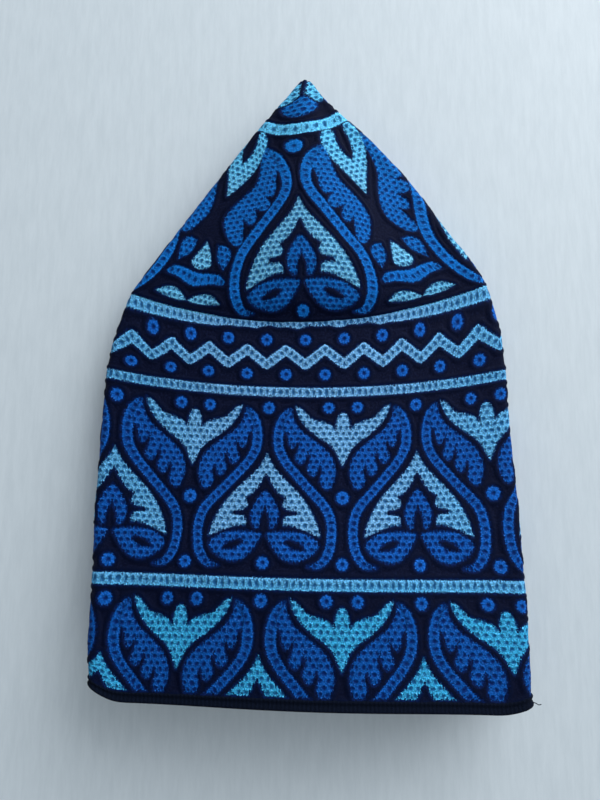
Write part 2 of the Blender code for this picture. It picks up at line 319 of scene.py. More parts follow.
def half_section(row, inset, side, zone, hem_share):
    """Half of each section, from the front's middle round to the back's middle."""
    reach = row.right if side > 0 else row.left
    fold_x = reach - row.fold
    back_x = fold_x + row.spread
    front_z = row.fold_top - row.fold
    back_z = row.base + row.fold
    tuck_z = row.base + TUCK_SHARE * (row.crest - row.base)
    fold_radius = row.fold - inset
    tuck_radius = row.tuck + inset

    def steps(count):
        return np.linspace(0.0, 1.0, count + 1)[None, 1:]

    def turn(x, z, radius, first, last, count):
        angle = np.radians(first + (last - first) * steps(count))
        return x + radius * np.cos(angle), z + radius * np.sin(angle)

    def layer(x0, z0, x1, z1, count):
        share = steps(count)
        return x0 + (x1 - x0) * share, z0 + (z1 - z0) * share**2 * (3 - 2 * share)

    left, right = row.left - row.fold, row.right - row.fold
    x = side * fold_x * np.linspace(0.0, 1.0, zone.front + 1)[None, :]
    share = (x - (right - left) / 2) / ((right + left) / 2)
    front = (np.abs(x), row.fold_top + (row.crest - row.fold_top) * (1 - share**2) ** 2 - inset)
    parts = [
        front,
        turn(fold_x, front_z, fold_radius, 90, -90, zone.outer_fold),
        layer(fold_x, front_z - fold_radius, row.tuck_x, tuck_z + tuck_radius, zone.upper),
        turn(row.tuck_x, tuck_z, tuck_radius, 90, 270, zone.tuck),
        layer(row.tuck_x, tuck_z - tuck_radius, back_x, back_z + fold_radius, zone.lower),
        turn(back_x, back_z, fold_radius, 90, -90, zone.inner_fold),
        layer(back_x, row.base + inset, 0.0, row.base + inset, zone.back),
    ]
    rows = len(row.along)
    across = np.concatenate([np.broadcast_to(part[0], (rows, part[0].shape[1])) for part in parts], 1)
    height = np.concatenate([np.broadcast_to(part[1], (rows, part[1].shape[1])) for part in parts], 1)
    run = np.hypot(np.diff(across, axis=1), np.diff(height, axis=1)).cumsum(1)
    run = np.concatenate([np.zeros((rows, 1)), run], 1)
    share = across / reach
    forward = row.mid + row.sag * share**2 + side * row.slant * share
    corner = CORNER_RIGHT if side > 0 else CORNER_LEFT
    from_fold = reach + CORNER_OVERHANG - across
    forward = forward + corner * (1 - rise(from_fold, 0, CORNER_REACH)) ** 2 * hem_share
    places = np.stack([side * across, forward, height], -1)
    quarter = run[:, zone.front : zone.front + 1] + row.fold * math.pi / 4
    return places, run, quarter


def folded_cloth(rows, alongs, inset, zone):
    """The whole loop from the back's middle, each point's run of cloth, and both front quarters' ends."""
    row = smooth_rows(rows, alongs)
    hem_share = 1 - rise(row.along, 0, CORNER_FADES) if rows is BAND else 0.0
    right, run_right, quarter_right = half_section(row, inset, 1, zone, hem_share)
    left, run_left, quarter_left = half_section(row, inset, -1, zone, hem_share)
    places = np.concatenate([left[:, :0:-1], right], 1)
    runs = np.concatenate([-run_left[:, :0:-1], run_right], 1)
    return places, runs, quarter_left, quarter_right


def normals_of(places):
    """The cloth's outward direction at each point."""
    around = np.empty_like(places)
    around[:, 1:-1] = places[:, 2:] - places[:, :-2]
    around[:, 0] = around[:, -1] = places[:, 1] - places[:, -2]
    along = np.gradient(places, axis=0)
    normal = np.cross(around, along)
    return normal / np.maximum(np.linalg.norm(normal, axis=-1, keepdims=True), 1e-9)


def wrap(value, period):
    """The value less whole periods, so that it lies within half a period of 0."""
    return (value + period / 2) % period - period / 2


def smooth_line(knots, closed=True, steps=LINE_STEPS):
    """A smooth line through the knots that keeps a corner at each sharp one."""
    points = np.array([(knot.x, knot.y) for knot in knots])
    count = len(points)
    line = []
    for i in range(count if closed else count - 1):
        start, end = points[i], points[(i + 1) % count]
        chord = end - start
        length = np.linalg.norm(chord)
        tangents = []
        for j in (i, (i + 1) % count):
            at_end = not closed and j in (0, count - 1)
            if getattr(knots[j], "sharp", False) or at_end:
                tangents.append(chord)
            else:
                way = points[(j + 1) % count] - points[j - 1]
                tangents.append(way / max(np.linalg.norm(way), 1e-9) * length)
        for share in np.arange(steps) / steps:
            line.append(curve(share, start, tangents[0], end, tangents[1]))
    if not closed:
        line.append(points[-1])
    return np.array(line)


def mirrored(knots):
    """The whole outline of a shape whose half runs from its axis back to its axis."""
    other = [Knot(-knot.x, knot.y, knot.sharp) for knot in reversed(knots) if knot.x > 0]
    return list(knots) + other


def depth_in_shape(points, outline):
    """How far inside the outline each point lies, in mm; outside it is negative."""
    depth = np.full(len(points), -REACH)
    low, high = outline.min(0) - REACH, outline.max(0) + REACH
    near = np.nonzero(((points > low) & (points < high)).all(1))[0]
    ax, ay = outline[:, 0], outline[:, 1]
    bx, by = np.roll(ax, -1), np.roll(ay, -1)
    ex, ey = bx - ax, by - ay
    squared = np.maximum(ex**2 + ey**2, 1e-12)
    slope = ex / np.where(ey == 0, 1e-12, ey)
    for part in np.array_split(near, 1 + len(near) * len(ax) // PAIRS_AT_ONCE):
        x, y = points[part, 0][:, None], points[part, 1][:, None]
        share = np.clip(((x - ax) * ex + (y - ay) * ey) / squared, 0, 1)
        gap = np.sqrt(((x - ax - share * ex) ** 2 + (y - ay - share * ey) ** 2).min(1))
        crossed = ((ay > y) != (by > y)) & (x < ax + slope * (y - ay))
        depth[part] = np.where(crossed.sum(1) % 2 == 1, gap, -gap)
    return np.maximum(depth, -REACH)


def depth_in_stem(points, stems):
    """Depth inside a stroke, the run along it, and the offset to its side, in mm."""
    line = smooth_line(stems, closed=False)
    places = np.arange(len(line)) / LINE_STEPS
    halves = np.interp(places, np.arange(len(stems)), [stem.half for stem in stems])
    start, edge = line[:-1], np.diff(line, axis=0)
    length = np.linalg.norm(edge, axis=1)
    runs = np.concatenate([[0], np.cumsum(length)[:-1]])
    depth = np.full(len(points), -REACH)
    run, offset = np.zeros(len(points)), np.zeros(len(points))
    low, high = line.min(0) - REACH - WIDEST_STEM, line.max(0) + REACH + WIDEST_STEM
    near = np.nonzero(((points > low) & (points < high)).all(1))[0]
    for part in np.array_split(near, 1 + len(near) * len(length) // PAIRS_AT_ONCE):
        dx = points[part, 0][:, None] - start[:, 0]
        dy = points[part, 1][:, None] - start[:, 1]
        share = np.clip((dx * edge[:, 0] + dy * edge[:, 1]) / length**2, 0, 1)
        gap = np.hypot(dx - share * edge[:, 0], dy - share * edge[:, 1])
        inside = halves[:-1] + share * np.diff(halves) - gap
        best = inside.argmax(1)
        row = np.arange(len(part))
        depth[part] = inside[row, best]
        run[part] = runs[best] + share[row, best] * length[best]
        side = np.sign(edge[best, 0] * dy[row, best] - edge[best, 1] * dx[row, best])
        offset[part] = side * gap[row, best]
    return np.maximum(depth, -REACH), run, offset


class Stitches:
    """Which thread covers each point of the cloth, and the grid of eyelets there."""

    def __init__(self, count):
        self.depth = np.full((2, count), -REACH)
        self.eyelet = np.zeros((count, 3))
        self.eyelet[:, 2] = FILL_EYELET

    def add(self, colour, depth, x, y, pitch):
        """x and y are eyelets across and along; a row of eyelets has its middle at y = 0."""
        better = depth > self.depth.max(0)
        grid = np.stack(np.broadcast_arrays(x + 0.5, y + TWO_ROWS / 2, pitch), -1)
        self.eyelet[better] = grid[better]
        self.depth[colour] = np.maximum(self.depth[colour], depth)

    def fill(self, colour, points, knots, hole=None, pitch=FILL_EYELET):
        depth = depth_in_shape(points, smooth_line(knots))
        if hole:
            depth = np.minimum(depth, -depth_in_shape(points, smooth_line(hole)))
        self.add(colour, depth, points[:, 0] / pitch, points[:, 1] / pitch, pitch)

    def stem(self, colour, points, stems, pitch=EYELET):
        depth, run, offset = depth_in_stem(points, stems)
        self.add(colour, depth, run / pitch, STROKE_ROWS * offset / pitch, pitch)

    def dot(self, points, dot):
        x, y = points[:, 0] - dot.x, points[:, 1] - dot.y
        depth = np.maximum(dot.radius - THREAD_SPREAD - np.hypot(x, y), -REACH)
        pitch = DOT_EYELET * dot.radius
        self.add(ROYAL, depth, x / pitch, y / pitch, pitch)

    def stripe(self, across, along, stripe, pitch=EYELET):
        depth = np.maximum(stripe.half - np.abs(along - stripe.middle), -REACH)
        self.add(SKY, depth, across / pitch, STRIPE_ROWS * (along - stripe.middle) / pitch, pitch)

    def cut(self, room):
        """Keeps the stitches inside a border that each point lies room mm within."""
        self.depth = np.maximum(np.minimum(self.depth, room), -REACH)


def band_stitches(runs, alongs):
    """The stitches at each point of the band's cloth."""
    half_round = UNIT * UNITS_ROUND / 2
    slack = SIDE_SLACK * np.clip((np.abs(runs) - SLACK_FROM) / SLACK_OVER, 0, 1) ** 2
    front = np.abs(runs) - slack
    longest = np.abs(runs[:, -1:])
    shortest = FRONT_END - SIDE_SLACK
    rest = shortest + (np.abs(runs) - FRONT_END) * (half_round - shortest) / (longest - FRONT_END)
    across = np.sign(runs) * np.where(np.abs(runs) < FRONT_END, front, rest)
    along = np.broadcast_to(alongs[:, None], across.shape)
    across, along = across.ravel(), along.ravel()
    aside = np.abs(across)
    lift = SIDE_LIFT * np.clip(aside / SIDE_LIFT_AT, 0, 1) ** 2
    stitches = Stitches(len(across))

    beside = rise(aside, *SIDE_STARTS) * (1 - rise(aside, *SIDE_STOPS))
    drawn = SKEW * (along - SKEW_FROM) - SIDE_SKEW * (along - SIDE_SKEW_FROM) * beside
    heart = np.abs(wrap(across - HEART_AXIS - drawn, UNIT))
    height = np.where(along < STRIPES[0].middle, along + LOWER_SHIFT, along)
    by_heart = np.stack([heart, height], -1)
    by_tulip = np.stack([UNIT / 2 - heart, height], -1)
    stitches.stem(ROYAL, by_heart, STEM)
    stitches.fill(ROYAL, by_heart, LEAF)
    stitches.fill(SKY, by_heart, mirrored(HEART))
    stitches.fill(ROYAL, by_heart, mirrored(FLAME))
    stitches.fill(ROYAL, by_heart, LENS, LENS_HOLE)
    stitches.fill(SKY, by_tulip, mirrored(TULIP))
    for points, dots in ((by_heart, HEART_DOTS), (by_tulip, TULIP_DOTS)):
        for dot in dots:
            stitches.dot(points, dot)
    stitches.cut(along - PATTERN_FOOT)

    raised = along - lift
    for stripe in STRIPES:
        stitches.stripe(across, raised, stripe)
    wobble = sum(wave.size * np.sin(across * wave.pace + wave.start) for wave in SEAM_WAVES)
    foot = SEAM_STRIPE_FOOT - SEAM_STRIPE_WIDER * rise(aside, *SEAM_STRIPE_WIDENS)
    foot = foot + wobble * (1 - rise(aside, *SEAM_WAVES_FADE))
    depth = np.maximum(along - foot, -REACH)
    middle = (foot + SEAM_STRIPE_HEAD) / 2
    stitches.add(SKY, depth, across / EYELET, STROKE_ROWS * (along - middle) / EYELET, EYELET)

    period = UNIT * UNITS_ROUND / ZIGZAGS_ROUND
    from_peak = wrap(across - ZIGZAG_PEAK, period)
    limb_x, limb_y = period / 2, -2 * ZIGZAG_RISE
    limb = math.hypot(limb_x, limb_y)
    x = np.abs(from_peak)
    y = raised - ZIGZAG_MIDDLE - ZIGZAG_RISE
    share = np.clip((x * limb_x + y * limb_y) / limb**2, 0, 1)
    gap = np.hypot(x - share * limb_x, y - share * limb_y)
    depth = np.maximum(ZIGZAG_HALF - gap, -REACH)
    offset = (y * limb_x - x * limb_y) / limb
    limbs = np.floor((across - ZIGZAG_PEAK) / period + 0.5) * 2
    run = (limbs + np.sign(from_peak) * share) * EYELETS_ON_LIMB
    stitches.add(SKY, depth, run, STROKE_ROWS * offset / EYELET, EYELET)
    from_valley = wrap(across - ZIGZAG_PEAK - period / 2, period)
    for x, y in ((from_valley, ZIGZAG_DOTS), (from_peak, -ZIGZAG_DOTS)):
        stitches.dot(np.stack([x, raised], -1), Dot(0.0, ZIGZAG_MIDDLE + y, DOT))
    return stitches, np.stack([across, along], -1)


def crown_stitches(runs, quarters, alongs):
    """The stitches at each point of the crown's cloth."""
    left, right = quarters
    quarter = np.where(runs < 0, left, right)
    ends = np.where(runs < 0, np.abs(runs[:, :1]), runs[:, -1:])
    distance = np.abs(runs)
    turn = np.where(
        distance < quarter,
        FRONT_TURN * distance / quarter,
        FRONT_TURN + (180.0 - FRONT_TURN) * (distance - quarter) / (ends - quarter),
    )
    turn = np.sign(runs) * turn
    spoke = smooth_rows(SPOKES, CROWN_RADIUS - alongs)
    knots = (-180, spoke.left, spoke.arm, spoke.heart, spoke.right, 180)
    on_pattern = ON_PATTERN[0]
    for start, end, low, high in zip(knots, knots[1:], ON_PATTERN, ON_PATTERN[1:]):
        on_pattern = on_pattern + (high - low) * np.clip((turn - start) / (end - start), 0, 1)
    seam_turn = SEAM_STRIPE_TURN * rise(np.abs(turn), *SEAM_STRIPE_TURNS) - SEAM_STRIPE_SHORT
    flat_turn = np.radians(turn).ravel()
    turn = np.radians(on_pattern).ravel()
    out = np.broadcast_to((CROWN_RADIUS - alongs)[:, None], runs.shape).ravel()
    fade = 1 - out / CENTRE_FADES
    x = out * np.sin(flat_turn) + CENTRE_X * fade
    y = out * np.cos(flat_turn) + CENTRE_Y * fade
    radius = np.hypot(x, y) - CENTRE_Y * fade
    sector = 2 * math.pi / CROWN_UNITS
    heart = np.abs(wrap(turn, sector))
    by_heart = np.stack([radius * np.sin(heart), radius * np.cos(heart)], -1)
    between = sector / 2 - heart
    by_loop = np.stack([radius * np.sin(between), radius * np.cos(between)], -1)
    on_band = np.stack(
        [
            by_heart[:, 0] / CROWN_HEART_WIDER,
            HEART[0].y - (by_heart[:, 1] - CROWN_HEART_TIP) / CROWN_HEART_LONGER,
        ],
        -1,
    )
    stitches = Stitches(len(turn))
    pitch = FILL_EYELET / CROWN_HEART_LONGER
    stitches.stem(ROYAL, by_heart, CROWN_STEM, CROWN_STEM_EYELET)
    stitches.fill(ROYAL, by_heart, CROWN_LEAF)
    stitches.fill(SKY, on_band, mirrored(HEART), pitch=pitch)
    stitches.fill(ROYAL, on_band, mirrored(FLAME), pitch=pitch)
    stitches.fill(ROYAL, on_band, LENS, LENS_HOLE, pitch=pitch)
    for dot in CROWN_DOTS:
        stitches.dot(by_heart, dot)
    stitches.fill(ROYAL, by_heart, mirrored(ROSETTE_LENS))
    stitches.fill(SKY, by_loop, mirrored(LOOP))
    stitches.fill(SKY, by_loop, mirrored(ROSETTE_PETAL))
    stitches.fill(ROYAL, by_loop, BLOCK)
    stitches.fill(SKY, by_loop, mirrored(DROP))
    stitches.stem(ROYAL, by_loop, WING, CROWN_EYELET)
    stitches.fill(SKY, by_loop, SEAM_LENS)
    stitches.stripe(turn * RING.middle, radius, RING, CROWN_EYELET)
    depth = np.maximum(out - CROWN_RADIUS + seam_turn.ravel(), -REACH)
    from_row = (out - CROWN_RADIUS - SEAM_STRIPE_WIDER) / EYELET
    stitches.add(SKY, depth, flat_turn * CROWN_RADIUS / EYELET, STROKE_ROWS * from_row, EYELET)
    return stitches, np.stack([out * np.sin(flat_turn), out * np.cos(flat_turn)], -1)


def bent_wave(pucker, place, other):
    """A wave along one way that bends to and fro along the other."""
    return np.sin(place * pucker.pace + pucker.bend * np.sin(other * pucker.bend_pace))


def relief(stitches, cloth, from_seam):
    """How far the stitching lifts the cloth's face, and the seam draws it in, in mm."""
    depth = stitches.depth.max(0)
    ridge = np.sin(math.pi * np.clip(-depth / OUTLINE, 0, 1))
    fill = np.clip(depth / STITCH_SLOPE + STITCH_START, 0, 1)
    x, y = cloth[:, 0], cloth[:, 1]
    pucker = bent_wave(PUCKER_ACROSS, x, y) * bent_wave(PUCKER_ALONG, y, x)
    seam = SEAM_DRAW * np.exp(-((from_seam / SEAM_DRAW_REACH) ** 2))
    return OUTLINE_RISE * ridge + STITCH_RISE * fill + PUCKER_RISE * pucker - seam


def place_in_scene(name, data):
    """A new object in the scene."""
    made = bpy.data.objects.new(name, data)
    bpy.context.scene.collection.objects.link(made)
    return made


def add_piece(name, places, columns, stitches, cloth, material, flip=False):
    """A mesh from a range of the grid's columns, with its stitches as attributes."""
    rows, all_columns = places.shape[:2]
    first, last = columns
    count = last - first + 1
    index = (np.arange(rows)[:, None] * all_columns + np.arange(first, last + 1)[None, :]).ravel()
    vertices = places.reshape(-1, 3)[index] * MM
    corner = (np.arange(rows - 1)[:, None] * count + np.arange(count - 1)[None, :]).ravel()
    faces = np.stack([corner, corner + 1, corner + count + 1, corner + count], -1)
    if flip:
        faces = faces[:, ::-1]
    mesh = bpy.data.meshes.new(name)
    mesh.vertices.add(len(vertices))
    mesh.vertices.foreach_set("co", vertices.ravel())
    mesh.loops.add(faces.size)
    mesh.loops.foreach_set("vertex_index", faces.ravel())
    mesh.polygons.add(len(faces))
    mesh.polygons.foreach_set("loop_start", np.arange(0, faces.size, 4))
    mesh.polygons.foreach_set("use_smooth", np.ones(len(faces), bool))
    mesh.update(calc_edges=True)
    flat = np.concatenate([cloth, np.zeros((len(cloth), 1))], 1)
    for label, kind, part, values in (
        ("royal", "FLOAT", "value", stitches.depth[ROYAL]),
        ("sky", "FLOAT", "value", stitches.depth[SKY]),
        ("eyelet", "FLOAT_VECTOR", "vector", stitches.eyelet),
        ("cloth", "FLOAT_VECTOR", "vector", flat),
    ):
        attribute = mesh.attributes.new(label, kind, "POINT")
        attribute.data.foreach_set(part, values[index].astype(np.float32).ravel())
    uv = np.stack(
        [
            np.tile(np.linspace(UV_MARGIN, 1 - UV_MARGIN, count), rows),
            np.repeat(np.linspace(UV_MARGIN, 1 - UV_MARGIN, rows), count),
        ],
        -1,
    )
    layer = mesh.uv_layers.new(name="OFBake")
    layer.data.foreach_set("uv", uv[faces.ravel()].astype(np.float32).ravel())
    mesh.materials.append(material)
    piece = place_in_scene(name, mesh)
    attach(piece, "root")
    return piece


class Shader:
    """A material's node tree, built from short calls."""

    def __init__(self, name):
        self.material = bpy.data.materials.new(name)
        self.material.use_nodes = True
        self.tree = self.material.node_tree
        self.surface = self.tree.nodes["Principled BSDF"]

    def node(self, kind, *inputs, **settings):
        made = self.tree.nodes.new(kind)
        for key, value in settings.items():
            setattr(made, key, value)
        for place, value in zip(made.inputs, inputs):
            self.put(place, value)
        return made

    def put(self, place, value):
        if isinstance(value, bpy.types.NodeSocket):
            self.tree.links.new(value, place)
        else:
            place.default_value = value

    def math(self, operation, *inputs):
        return self.node("ShaderNodeMath", *inputs, operation=operation).outputs[0]

    def add(self, first, *others):
        for other in others:
            first = self.math("ADD", first, other)
        return first

    def largest(self, first, second):
        return self.math("MAXIMUM", first, second)

    def minus(self, first, second):
        return self.math("SUBTRACT", first, second)

    def times(self, first, second):
        return self.math("MULTIPLY", first, second)

    def parts(self, vector):
        """The vector's x, y and z."""
        return tuple(self.node("ShaderNodeSeparateXYZ", vector).outputs)

    def ramp(self, value, step):
        """A smooth step from step.start to step.end while value goes from step.low to step.high."""
        made = self.node("ShaderNodeMapRange", value, *step)
        made.interpolation_type = "SMOOTHSTEP"
        return made.outputs[0]

    def attribute(self, name):
        return self.node("ShaderNodeAttribute", attribute_name=name)

    def noise(self, vector, noise):
        made = self.node("ShaderNodeTexNoise")
        self.put(made.inputs["Vector"], vector)
        self.put(made.inputs["Scale"], noise.pace)
        self.put(made.inputs["Detail"], noise.detail)
        self.put(made.inputs["Roughness"], noise.roughness)
        return made.outputs[0]

    def choose(self, share, first, second):
        """The first value where share is 0 and the second where it is 1."""
        made = self.node("ShaderNodeMix")
        self.put(made.inputs[0], share)
        self.put(made.inputs[2], first)
        self.put(made.inputs[3], second)
        return made.outputs[0]

    def mix(self, share, first, second):
        """The first colour where share is 0 and the second where it is 1."""
        made = self.node("ShaderNodeMix", data_type="RGBA")
        self.put(made.inputs[0], share)
        self.put(made.inputs[6], first)
        self.put(made.inputs[7], second)
        return made.outputs[2]

    def brighten(self, colour, value):
        made = self.node("ShaderNodeHueSaturation")
        self.put(made.inputs["Value"], value)
        self.put(made.inputs["Color"], colour)
        return made.outputs[0]

    def finish(self, colour, height, roughness, specular):
        """Sets the colour, the height in mm and the gloss of the material, and gives it back."""
        surface = self.surface.inputs
        self.put(surface["Base Color"], colour)
        surface["Roughness"].default_value = roughness
        surface["Specular IOR Level"].default_value = specular
        bump = self.node("ShaderNodeBump")
        self.put(bump.inputs["Height"], self.times(height, MM))
        self.put(bump.inputs["Distance"], 1.0)
        self.put(surface["Normal"], bump.outputs[0])
        return self.material


# The threads' colours, the painted shade in the eyelets' holes, and the blues low down and aside: painted
# shade on the band, painted light on the crown.
Threads = namedtuple("Threads", "royal royal_hole sky sky_hole low_royal low_sky")
BAND_THREADS = Threads(
    (0.0042, 0.080, 0.365, 1.0), (0.0009, 0.016, 0.125, 1.0),
    (0.138, 0.355, 0.63, 1.0), (0.008, 0.090, 0.26, 1.0),
    (0.0024, 0.066, 0.295, 1.0), (0.029, 0.300, 0.55, 1.0),
)
# The crown's threads are the band's, brighter and more cyan: painted light and sheen.
CROWN_THREADS_LIT = Threads(
    (0.0032, 0.118, 0.440, 1.0), (0.0010, 0.030, 0.180, 1.0),
    (0.145, 0.455, 0.71, 1.0), (0.008, 0.110, 0.30, 1.0),
    (0.0032, 0.128, 0.440, 1.0), (0.100, 0.455, 0.74, 1.0),
)
GROUND = (0.0012, 0.0030, 0.0165, 1.0)
GROUND_LIGHT = (0.0092, 0.0150, 0.055, 1.0)
OUTLINE_THREAD = (0.0004, 0.0032, 0.0200, 1.0)
EDGE_THREAD = (0.0012, 0.0125, 0.085, 1.0)
BINDING_THREAD = (0.0004, 0.0024, 0.0090, 1.0)
BINDING_LIGHT = (0.0022, 0.0052, 0.0165, 1.0)
# Painted glints of light on the glossy threads.
PAINTED_GLINT = (0.34, 0.58, 0.80, 1.0)

# Noises by their pace for each mm of cloth, and smooth steps from start to end between low and high.
Noise = namedtuple("Noise", "pace detail roughness", defaults=(2.0, 0.5))
Step = namedtuple("Step", "low high start end", defaults=(0.0, 1.0))

# How the eyelets stand in their staggered grid. One wider than WIDEST_IN_ROWS is a dot, which stands alone.
WIDEST_IN_ROWS = 2.8
SWAY_ACROSS, SWAY_ACROSS_NOISE = 0.6, Noise(0.42, 1.0)
SWAY_ALONG, SWAY_ALONG_NOISE = 0.45, Noise(0.5, 1.0)
SWAY_ALONG_TURN = 2.0
ROW_NUMBERS = 17.3

# Each eyelet's hole and threads. The hole's step is in mm, the rim's and the scallop's in eyelets.
FINE = Noise(1.9, 4.0, 0.75)
COARSE = Noise(0.6, 1.0)
THREADS_ROUND = 9.0
THREADS_BEND = 9.0
HOLE_RAGGED, HOLE_VARIES = 0.6, -0.16
HOLE = Step(0.92, 0.10, 0.0, 0.95)
RIM = Step(0.36, 0.56)
SCALLOP = Step(0.30, 0.5)

# The edges of the coloured areas, in mm.
THREAD_SPREAD = 0.05
FRAY_FINE, FRAY_THREADS, FRAY_SCALLOP = 2.0, 0.10, -0.55
THREAD_EDGE = Step(-0.13, 0.13)
OUTLINE_EDGE = Step(-OUTLINE, -OUTLINE + 0.8)
DARK_EDGE = Step(-0.9, -0.1, 0.0, 0.85)

# The ground, and where painted light and shade change threads and ground: towards the hem or the crown's
# point, and aside.
GROUND_NOISE = Noise(1.5, 4.0, 0.8)
GROUND_PALE = Step(0.44, 0.72)
LOW = Step(46.0, 24.0)
ASIDE = Step(22.0, 60.0, 0.0, 0.45)
PAINTED_SHADE_GROUND_SHARE = 0.7

# How bright the threads are: at first, by strand, eyelet and patch, with painted shade in creases and near
# holes, near edges, and where painted glints fleck them.
BRIGHT, DARKEST = 1.16, 0.28
STRAND_TONE, EYELET_TONE, PATCH_TONE = 0.13, 0.26, 0.5
RIM_CREASE_SHADE, SCALLOP_CREASE_SHADE = 0.04, 0.38
BRIGHT_EDGE = Step(0.55, 0.1, 0.0, 0.28)
HOLE_SHADE = Step(0.35, 1.08, -0.30, 0.16)
ROYAL_GRAIN, ROYAL_GLINTS = 3.4, Step(0.07, 0.22, 0.0, 0.16)
SKY_GRAIN, SKY_GLINTS = 5.6, Step(0.07, 0.22, 0.0, 0.44)

# Heights in mm, and the gloss.
DIMPLE, DIMPLE_RISE = Step(0.1, 0.85), 0.42
STRAND_RISE, FINE_RISE, RIM_RISE, GROUND_RISE = 0.04, 0.5, -0.12, 0.35
CLOTH_ROUGHNESS, CLOTH_SPECULAR = 0.62, 0.05


def nearest_eyelet(shader, cloth):
    """The way across and along from the nearest eyelet's middle, its length, and the eyelet's number.

    All are in eyelets. The eyelet's width in mm and whether it stands in rows come with them.
    """
    add, minus, times = shader.add, shader.minus, shader.times
    across, along, width = shader.parts(shader.attribute("eyelet").outputs["Vector"])
    in_rows = shader.math("LESS_THAN", width, WIDEST_IN_ROWS)
    turned = shader.node("ShaderNodeMapping", cloth)
    turned.inputs["Rotation"].default_value = (0.0, 0.0, SWAY_ALONG_TURN)
    sway = times(minus(shader.noise(cloth, SWAY_ACROSS_NOISE), 0.5), SWAY_ACROSS)
    sway_along = times(minus(shader.noise(turned.outputs[0], SWAY_ALONG_NOISE), 0.5), SWAY_ALONG)
    across = add(across, times(sway, in_rows))
    along = shader.math("DIVIDE", add(along, times(sway_along, in_rows)), TWO_ROWS)
    choices = []
    for shift in (0.0, 0.5):
        shifted_x, shifted_y = add(across, shift), add(along, shift)
        x = minus(shader.math("FRACT", shifted_x), 0.5)
        y = times(minus(shader.math("FRACT", shifted_y), 0.5), TWO_ROWS)
        distance = shader.math("SQRT", add(times(x, x), times(y, y)))
        row = times(shader.math("FLOOR", shifted_y), ROW_NUMBERS)
        choices.append((x, y, distance, add(shader.math("FLOOR", shifted_x), row, shift)))
    second = shader.math("LESS_THAN", choices[1][2], choices[0][2])
    nearest = [shader.choose(second, *pair) for pair in zip(*choices)]
    return (*nearest, width, in_rows)


def embroidery(name, threads):
    """Eyelet stitches in two blues with dark raised outlines on a dark stitched ground."""
    shader = Shader(name)
    add, minus, times, ramp = shader.add, shader.minus, shader.times, shader.ramp
    cloth = shader.attribute("cloth").outputs["Vector"]
    royal = shader.attribute("royal").outputs["Fac"]
    sky = shader.attribute("sky").outputs["Fac"]
    x, y, distance, number, width, in_rows = nearest_eyelet(shader, cloth)
    out = times(distance, width)
    own = shader.node("ShaderNodeTexWhiteNoise", noise_dimensions="1D")
    shader.put(own.inputs["W"], number)
    own = own.outputs["Value"]

    # Threads run out from each hole, which is soft and differs from its neighbours in size.
    fine = minus(shader.noise(cloth, FINE), 0.5)
    coarse = minus(shader.noise(cloth, COARSE), 0.5)
    angle = shader.math("ARCTAN2", y, x)
    strands = shader.math("SINE", add(times(angle, THREADS_ROUND), times(fine, THREADS_BEND)))
    hole = ramp(add(out, times(fine, HOLE_RAGGED), times(own, HOLE_VARIES)), HOLE)
    rim = ramp(distance, RIM)
    scallop = times(ramp(shader.math("ABSOLUTE", x), SCALLOP), in_rows)

    # Frayed, scalloped edges of the coloured areas.
    fray = add(times(fine, FRAY_FINE), times(strands, FRAY_THREADS), times(scallop, FRAY_SCALLOP))
    fray = add(fray, THREAD_SPREAD)
    royal_edge, sky_edge = add(royal, fray), add(sky, fray)
    royal_share, sky_share = ramp(royal_edge, THREAD_EDGE), ramp(sky_edge, THREAD_EDGE)
    depth = shader.largest(royal_edge, sky_edge)
    coloured = shader.largest(royal_share, sky_share)

    # The dark ground, then the outlines over it.
    ground_noise = shader.noise(cloth, GROUND_NOISE)
    ground = shader.mix(ramp(ground_noise, GROUND_PALE), GROUND, GROUND_LIGHT)
    place = shader.parts(cloth)
    aside = ramp(shader.math("ABSOLUTE", place[0]), ASIDE)
    # Painted light and shade: where low is high, the ground and the band's blues are darker and the crown's
    # blues brighter.
    low = shader.largest(ramp(place[1], LOW), aside)
    ground = shader.mix(times(low, PAINTED_SHADE_GROUND_SHARE), ground, GROUND)
    colour = shader.mix(ramp(depth, OUTLINE_EDGE), ground, OUTLINE_THREAD)
    colour = shader.mix(ramp(depth, DARK_EDGE), colour, EDGE_THREAD)

    # The two blues.
    # Painted shade in the creases at the eyelets' rims and between their scallops.
    crease_shade = shader.largest(times(rim, RIM_CREASE_SHADE), times(scallop, SCALLOP_CREASE_SHADE))
    value = add(times(strands, STRAND_TONE), times(own, EYELET_TONE), times(coarse, PATCH_TONE))
    value = add(value, minus(BRIGHT, crease_shade), ramp(depth, BRIGHT_EDGE), ramp(out, HOLE_SHADE))
    for share, thread, painted_light_thread, gap, grain, pale in (
        (royal_share, threads.royal, threads.low_royal, threads.royal_hole, ROYAL_GRAIN, ROYAL_GLINTS),
        (sky_share, threads.sky, threads.low_sky, threads.sky_hole, SKY_GRAIN, SKY_GLINTS),
    ):
        bright = shader.largest(add(value, times(fine, grain)), DARKEST)
        # Painted glints fleck each blue where the fine noise is high.
        stitched = shader.mix(ramp(fine, pale), shader.mix(low, thread, painted_light_thread), PAINTED_GLINT)
        # The holes' colours are painted shade inside each hole.
        stitched = shader.mix(hole, shader.brighten(stitched, bright), gap)
        colour = shader.mix(share, colour, stitched)

    # Heights in mm: the eyelets' dimples, their threads, and the ground's close stitches.
    stitched = add(
        times(ramp(out, DIMPLE), DIMPLE_RISE), times(strands, STRAND_RISE), times(fine, FINE_RISE),
        times(rim, RIM_RISE),
    )
    rough = times(ground_noise, GROUND_RISE)
    height = add(times(stitched, coloured), times(rough, minus(1.0, coloured)))
    return shader.finish(colour, height, CLOTH_ROUGHNESS, CLOTH_SPECULAR)


